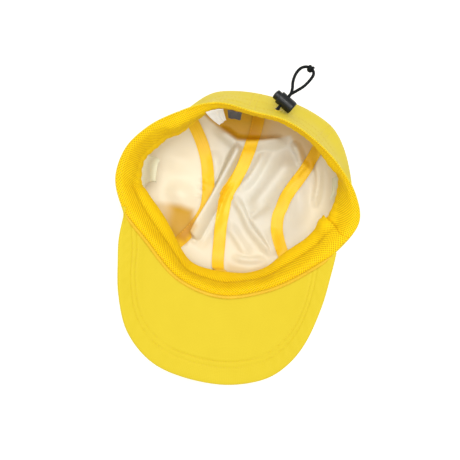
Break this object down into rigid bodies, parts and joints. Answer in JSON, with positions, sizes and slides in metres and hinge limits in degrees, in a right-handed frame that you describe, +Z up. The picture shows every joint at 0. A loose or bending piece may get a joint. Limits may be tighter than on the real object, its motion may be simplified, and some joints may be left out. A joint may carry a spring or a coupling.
{
  "type": "soft sports cap",
  "caption": "Soft foldable sports cap lying upside down on its crown, with a stitched brim, mesh sweatband and a rear drawcord with a sprung cord lock.",
  "frame": {"origin": "middle of the crown, on the plane that the upturned crown rests on", "axes": "+Z up out of the cap's opening, -Y towards the brim, +Y towards the back, +X to the right seen from above with the brim near"},
  "size_m": [0.1971, 0.2665, 0.0921],
  "materials": {
    "shell_cloth": "plain woven light polyester, matt, coated cream on its inside",
    "brim_cloth": "plain woven polyester, matt",
    "seam_tape": "folded woven tape, slight sheen",
    "sweatband_mesh": "bird's-eye knitted mesh",
    "side_tape": "light coated patch",
    "label_satin": "blank satin ribbon",
    "brim_board": "flexible polyethylene board",
    "elastic_cord": "braided cover on elastic cord",
    "lock_plastic": "moulded black plastic, satin",
    "spring_steel": "plain spring wire"
  },
  "bodies": {
    "cap": {"crown_panel_left": "shell_cloth", "crown_panel_left_top": "shell_cloth", "crown_panel_right_top": "shell_cloth", "crown_panel_right": "shell_cloth", "seam_tape_left": "seam_tape", "seam_tape_centre": "seam_tape", "seam_tape_right": "seam_tape", "side_tape_left": "side_tape", "side_tape_right": "side_tape", "sweatband": "sweatband_mesh", "cord_channel": "seam_tape", "brim_board": "brim_board", "brim_cover_crown_side": "brim_cloth", "brim_cover_face_side": "brim_cloth", "brim_seam_binding": "seam_tape", "care_label": "label_satin", "size_label": "label_satin", "drawcord_left": "elastic_cord", "drawcord_right": "elastic_cord", "cord_loop_upper": "elastic_cord", "cord_loop_lower": "elastic_cord", "cord_knot": "elastic_cord"},
    "cord_lock": {"cord_lock_barrel": "lock_plastic", "cord_lock_spring": "spring_steel"},
    "lock_button": {"cord_lock_button": "lock_plastic"}
  },
  "joints": [
    {"name": "lock_slide", "type": "slide", "parent": "cap", "child": "cord_lock", "axis": [0.5311, 0.8473, 0], "range_m": [0, 0.012], "deforming": ["cord_loop_upper", "cord_loop_lower"]},
    {"name": "button_press", "type": "slide", "parent": "cord_lock", "child": "lock_button", "axis": [0.8499, -0.5269, 0], "range_m": [0, 0.0025], "stiffness_N_per_m": 200, "springref_m": -0.002, "deforming": ["cord_lock_spring"]}
  ]
}
